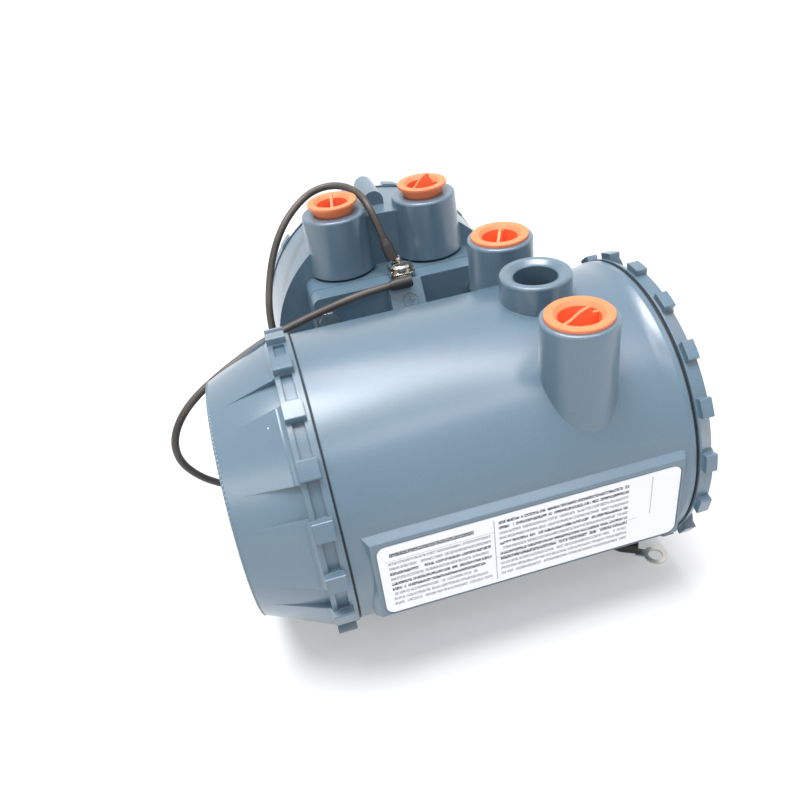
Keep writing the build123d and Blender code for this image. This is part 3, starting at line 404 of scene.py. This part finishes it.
def makeLead(name, route, cadNode):
    curve = bpy.data.curves.new(name, "CURVE")
    curve.dimensions = "3D"
    spline = curve.splines.new("NURBS")
    spline.points.add(len(route) - 1)
    for point, place in zip(spline.points, route):
        point.co = (place[0] * mm, place[1] * mm, place[2] * mm, 1.0)
    spline.order_u = 3
    spline.use_endpoint_u = True
    spline.resolution_u = 10
    curve.bevel_depth = leadSettings["radius"] * mm
    curve.bevel_resolution = 5
    curve.use_fill_caps = True
    curve.materials.append(finishes["lead"])
    obj = bpy.data.objects.new(name, curve)
    scene.collection.objects.link(obj)
    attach(obj, "housing_body")
    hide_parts(cadNode)
    return obj


makeLead("rearLead", leadSettings["rear"], "rear_lead")
makeLead("frontLead", leadSettings["front"], "front_lead")
print("leads made")


# Surfaces worked out on a grid

def gridPiece(name, points, closeU=False, closeV=False, finish="blue_paint", body="housing_body"):
    # points: an array of rows by columns by 3, in metres; rows run along u and columns along v
    rows, columns = points.shape[:2]
    index = np.arange(rows * columns).reshape(rows, columns)
    u = np.arange(rows if closeU else rows - 1)
    v = np.arange(columns if closeV else columns - 1)
    a, b = np.meshgrid(u, v, indexing="ij")
    c, d = (a + 1) % rows, (b + 1) % columns
    quads = np.stack([index[a, b], index[c, b], index[c, d], index[a, d]], -1).reshape(-1, 4)
    mesh = bpy.data.meshes.new(name)
    mesh.from_pydata(points.reshape(-1, 3), [], quads)
    mesh.polygons.foreach_set("use_smooth", np.full(len(mesh.polygons), True))
    mesh.materials.append(finishes[finish])
    mesh.update()
    obj = bpy.data.objects.new(name, mesh)
    scene.collection.objects.link(obj)
    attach(obj, body)
    return obj


# Fine serration round the end of the display cover

teethSettings = dict(count=164, height=0.5, start=41.2, stop=42.85, radius=57.0, sink=1.2)


def makeCoverTeeth(s):
    # Round a closed strip: radius = cone's end radius - sink + tooth height * share * a rounded saw of the angle
    angle = np.linspace(0, 2 * math.pi, s["count"] * 8, endpoint=False)[:, None]
    tooth = np.abs(np.sin(angle * s["count"] / 2)) ** 0.6
    reach = np.array([s["start"], s["start"] + 0.4, s["stop"] - 0.4, s["stop"], s["stop"], s["start"]])[None, :]
    share = np.array([0.0, 1.0, 1.0, 0.0, 0.0, 0.0])[None, :]
    sink = np.array([0.2, 0.0, 0.0, 0.5, s["sink"] + 0.6, s["sink"] + 0.6])[None, :]
    radius = s["radius"] - sink + s["height"] * tooth * share
    x = sealHigh.x - reach * mm + 0 * angle
    y = barrelAxis[0] + radius * np.cos(angle) * mm
    z = barrelAxis[1] + radius * np.sin(angle) * mm
    return gridPiece("coverTeeth", np.stack([x, y, z], -1), True, True, "blue_paint", "electronics_cover_body")


makeCoverTeeth(teethSettings)
print("cover teeth made")


# Raised sign for protective earth on the rib's steep face

signSettings = dict(centre=(11.86, 39.39, 108.46), slope=59.0, radius=4.2, stroke=0.36, height=0.35)


def signPlane(s):
    tilt = math.radians(s["slope"])
    up = np.array([0, math.cos(tilt), math.sin(tilt)])
    out = np.array([0, -math.sin(tilt), math.cos(tilt)])
    return np.array(s["centre"]), np.array([1.0, 0, 0]), up, out


def makeStroke(name, path, s, closed=False):
    # A line of points thickened into a low rounded ridge: centre + stroke * cos(v) * across + height * sin(v) * out
    centre, right, up, out = signPlane(s)
    along = np.roll(path, -1, 0) - np.roll(path, 1, 0) if closed else np.gradient(path, axis=0)
    along = along / np.linalg.norm(along, axis=1, keepdims=True)
    across = np.stack([-along[:, 1], along[:, 0]], -1)
    v = np.linspace(0, 2 * math.pi, 12, endpoint=False)[None, :, None]
    thin = np.ones(len(path)) if closed else np.array([0.05] + [1.0] * (len(path) - 2) + [0.05])
    flat = path[:, None, :] + s["stroke"] * thin[:, None, None] * np.cos(v) * across[:, None, :]
    rise = s["height"] * thin[:, None, None] * np.sin(v)
    points = centre + flat[..., :1] * right + flat[..., 1:] * up + rise * out
    return gridPiece(name, points * mm, closed, True, "blue_paint", "housing_body")


def makeEarthSign(s):
    turn = np.linspace(0, 2 * math.pi, 64, endpoint=False)
    makeStroke("earthRing", s["radius"] * np.stack([np.cos(turn), np.sin(turn)], -1), s, True)
    r = s["radius"]
    for name, a, b in (
        ("earthStem", (0, 0.62 * r), (0, 0.05 * r)),
        ("earthBarWide", (-0.60 * r, 0), (0.60 * r, 0)),
        ("earthBarMiddle", (-0.40 * r, -0.28 * r), (0.40 * r, -0.28 * r)),
        ("earthBarShort", (-0.20 * r, -0.56 * r), (0.20 * r, -0.56 * r)),
    ):
        share = np.linspace(0, 1, 8)[:, None]
        makeStroke(name, np.array(a) * (1 - share) + np.array(b) * share, s)


makeEarthSign(signSettings)
print("earth sign made")


# Floor, backdrop and lamps

def shownRays(tree, rays):          # the rays that show the backdrop: the camera's, and those in metal and glass
    camera, glossy, through = (Value(tree, rays.outputs[k]) for k in
                               ("Is Camera Ray", "Is Glossy Ray", "Is Transmission Ray"))
    return (camera + glossy + through).clamp()


floorSettings = dict(reach=6, tone=(0.86, 0.87, 0.88, 1), other=(0.83, 0.84, 0.86, 1), white=0.34)


def makeFloor(s):
    mesh = bpy.data.meshes.new("floor")
    r = s["reach"]
    mesh.from_pydata([(-r, -r, 0), (r, -r, 0), (r, r, 0), (-r, r, 0)], [], [(0, 1, 2, 3)])
    floor = bpy.data.objects.new("floor", mesh)
    scene.collection.objects.link(floor)
    f = Finish("pale floor")
    rays = f.tree.nodes.new("ShaderNodeLightPath")
    seen = shownRays(f.tree, rays)
    colour = f.mix(f.noise(3, 2) * 0.2, s["tone"], s["other"])
    f.set(colour=colour, rough=0.9, specular=0.0)
    glow = f.node("ShaderNodeEmission", {}, {"Color": (1, 1, 1, 1), "Strength": 1.0})
    both = f.node("ShaderNodeMixShader", {}, {0: seen * s["white"], 1: Value(f.tree, f.shader.outputs[0]), 2: glow})
    f.tree.links.new(both.socket, f.output.inputs[0])
    mesh.materials.append(f.material)


def makeWorld():
    world = bpy.data.worlds.new("studio")
    scene.world = world
    world.use_nodes = True
    tree = world.node_tree
    tree.nodes.clear()
    rays = tree.nodes.new("ShaderNodeLightPath")
    seen = shownRays(tree, rays)
    strength = seen * (lightSettings["backdrop"] - lightSettings["world"]) + lightSettings["world"]
    background = tree.nodes.new("ShaderNodeBackground")
    background.inputs["Color"].default_value = (1.0, 1.0, 1.0, 1)
    tree.links.new(strength.socket, background.inputs["Strength"])
    output = tree.nodes.new("ShaderNodeOutputWorld")
    tree.links.new(background.outputs[0], output.inputs[0])


makeCamera(cameraSettings)
for lamp in ("top", "front", "left"):
    makeLight(lamp + "Lamp", lightSettings[lamp])
makeSun(lightSettings["sun"])
makeFloor(floorSettings)
makeWorld()
scene.view_settings.view_transform = "Standard"
print("camera, floor and lamps made")
